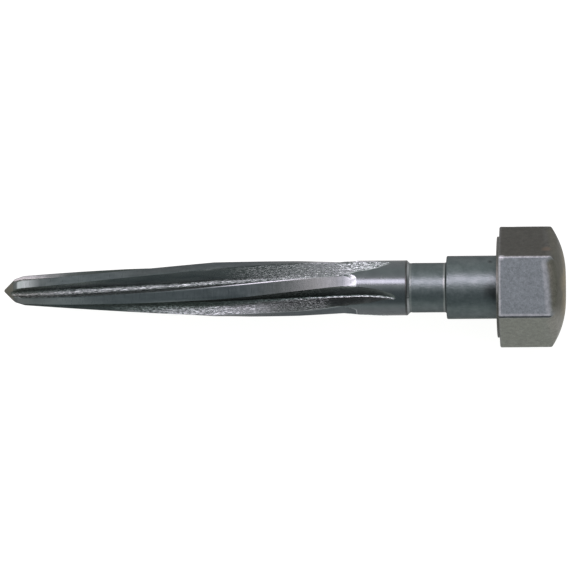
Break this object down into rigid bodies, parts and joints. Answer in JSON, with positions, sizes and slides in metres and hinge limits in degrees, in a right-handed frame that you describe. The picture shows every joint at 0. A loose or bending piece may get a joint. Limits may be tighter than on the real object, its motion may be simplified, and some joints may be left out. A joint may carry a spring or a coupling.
{
  "type": "taper bridge reamer with hexagon drive head",
  "caption": "Tapered spiral-fluted steel reamer with a turned neck and collar and a hexagon drive head with washer face and domed crown, for opening and aligning bolt holes.",
  "frame": {"origin": "on the tool's axis, in the plane of the drive head's washer face", "axes": "+X along the axis from the cutting point to the drive head's crown; +Z normal to one hexagon flat; +Y towards a hexagon corner"},
  "size_m": [0.2042, 0.0438, 0.0382],
  "materials": {
    "cutter_steel": "steam-oxidised high-speed steel, dark blue-grey, ground lands over rough forged flutes",
    "shank_steel": "turned alloy steel, dark blue-grey oxide, satin",
    "head_steel": "forged alloy steel, grey-brown scale, flats worn to satin"
  },
  "bodies": {
    "root": {"fluted_cutter": "cutter_steel", "shank": "shank_steel", "drive_head": "head_steel"}
  },
  "joints": []
}
